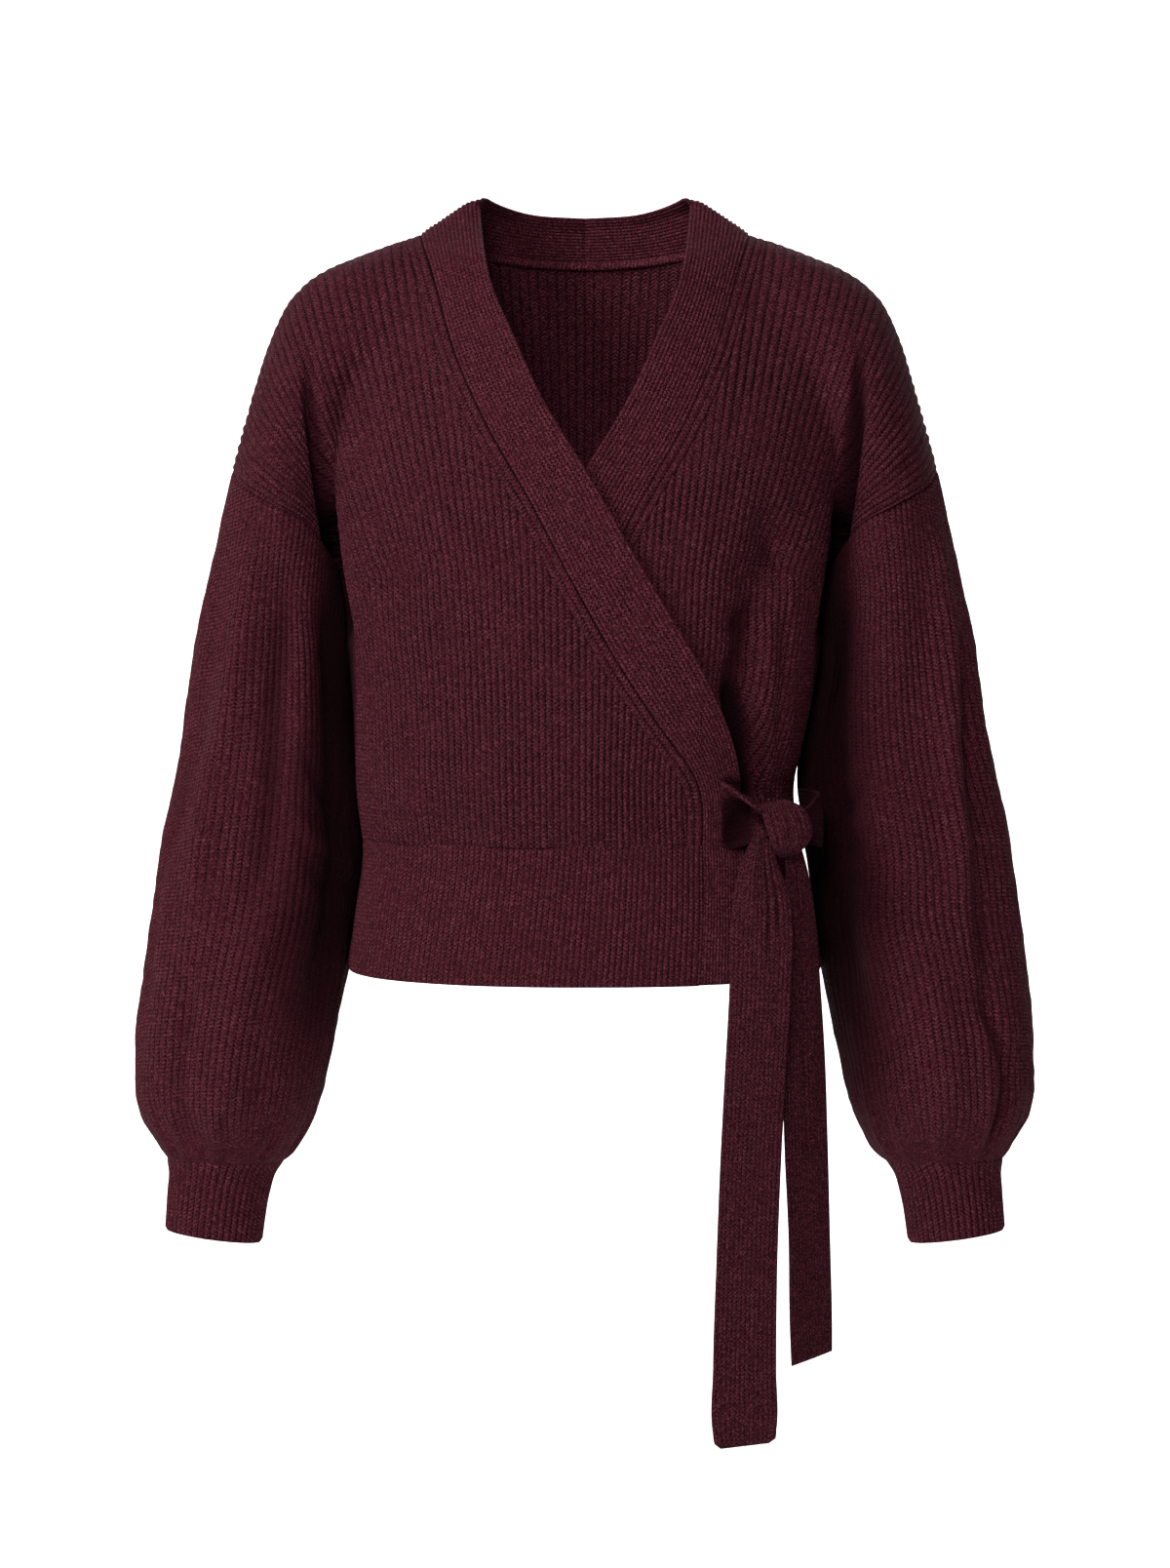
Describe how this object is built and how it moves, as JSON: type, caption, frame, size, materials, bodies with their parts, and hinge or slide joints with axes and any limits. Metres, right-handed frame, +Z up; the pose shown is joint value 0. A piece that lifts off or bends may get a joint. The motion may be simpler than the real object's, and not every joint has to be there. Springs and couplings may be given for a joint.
{
  "type": "wrap cardigan",
  "caption": "Cropped wrap cardigan in rib knit, in its hollow worn form, with a V neck, drop shoulders, balloon sleeves, a deep hem rib and a tie knotted at one side.",
  "frame": {"origin": "in the middle between the shoulders, level with the points where the neckband meets them, where the wearer's shoulders carry the garment", "axes": "+Z up, -Y towards the front, -X towards the wearer's right"},
  "size_m": [0.598, 0.2196, 0.8177],
  "materials": {
    "body_knit": "brushed wool rib, dull and soft",
    "rib_knit": "brushed wool rib, dull",
    "band_knit": "fine wool rib, dull",
    "tie_knit": "fine wool rib, dull"
  },
  "bodies": {
    "root": {"back": "body_knit", "right_front": "body_knit", "left_front": "body_knit", "sleeve_right": "body_knit", "sleeve_left": "body_knit", "cuff_right": "rib_knit", "cuff_left": "rib_knit", "hem_back": "rib_knit", "hem_right_front": "rib_knit", "hem_left_front": "rib_knit", "neckband_right": "band_knit", "neckband_left": "band_knit", "tie_front_strap": "tie_knit", "tie_front_tail": "tie_knit", "tie_back_strap": "tie_knit", "tie_back_tail": "tie_knit", "knot": "tie_knit"}
  },
  "joints": []
}
